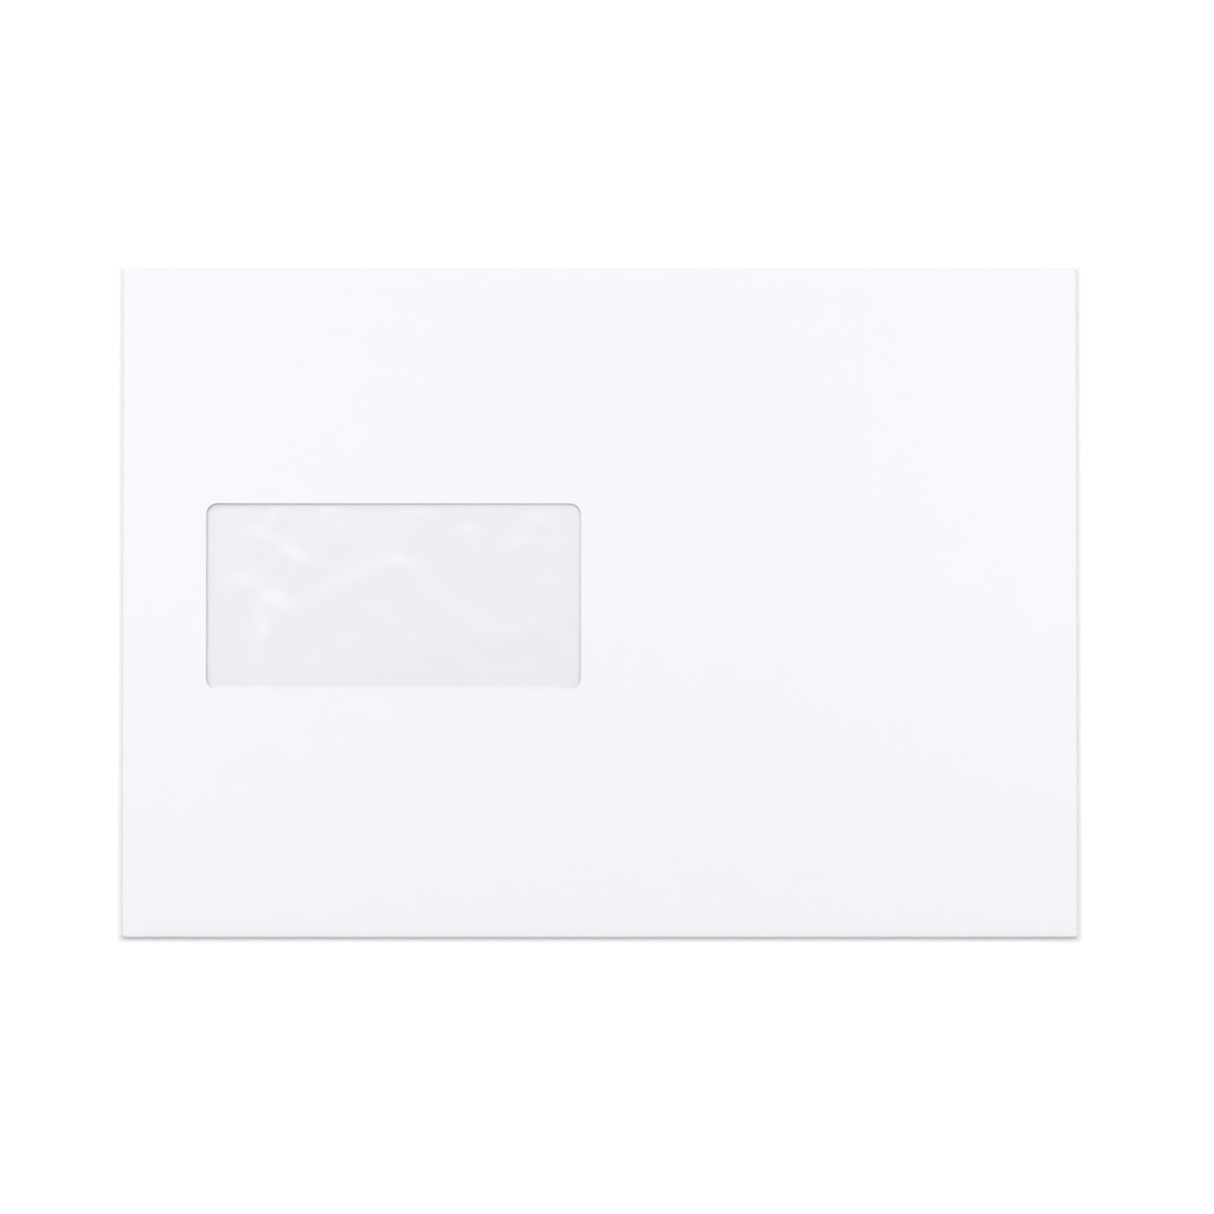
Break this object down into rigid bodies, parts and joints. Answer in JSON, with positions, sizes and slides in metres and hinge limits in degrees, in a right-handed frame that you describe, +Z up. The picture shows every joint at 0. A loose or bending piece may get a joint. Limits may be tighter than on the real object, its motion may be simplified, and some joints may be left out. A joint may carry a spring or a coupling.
{
  "type": "envelope",
  "caption": "Flat white paper envelope with a rounded clear film window on its address side and a gummed seal flap folded down behind; a pocket for a folded letter.",
  "frame": {"origin": "centre of the underside of the envelope as it lies address side up", "axes": "+X along the long side, to the right of the address side; +Y towards the top fold of the seal flap; +Z up, out of the address side"},
  "size_m": [0.229, 0.162, 0.0016],
  "materials": {
    "white_paper": "smooth matte uncoated white wove, 100 g/m2",
    "clear_film": "clear polystyrene window film, gloss, faintly puckered",
    "dry_glue": "dried white envelope adhesive, thin and nearly clear",
    "dry_gum": "dried remoistenable gum, semi-gloss"
  },
  "bodies": {
    "root": {"folded_paper_sheet": "white_paper", "window_film": "clear_film", "window_glue_ring": "dry_glue", "side_seam_glue_left": "dry_glue", "side_seam_glue_right": "dry_glue", "seal_flap_gum": "dry_gum"}
  },
  "joints": []
}
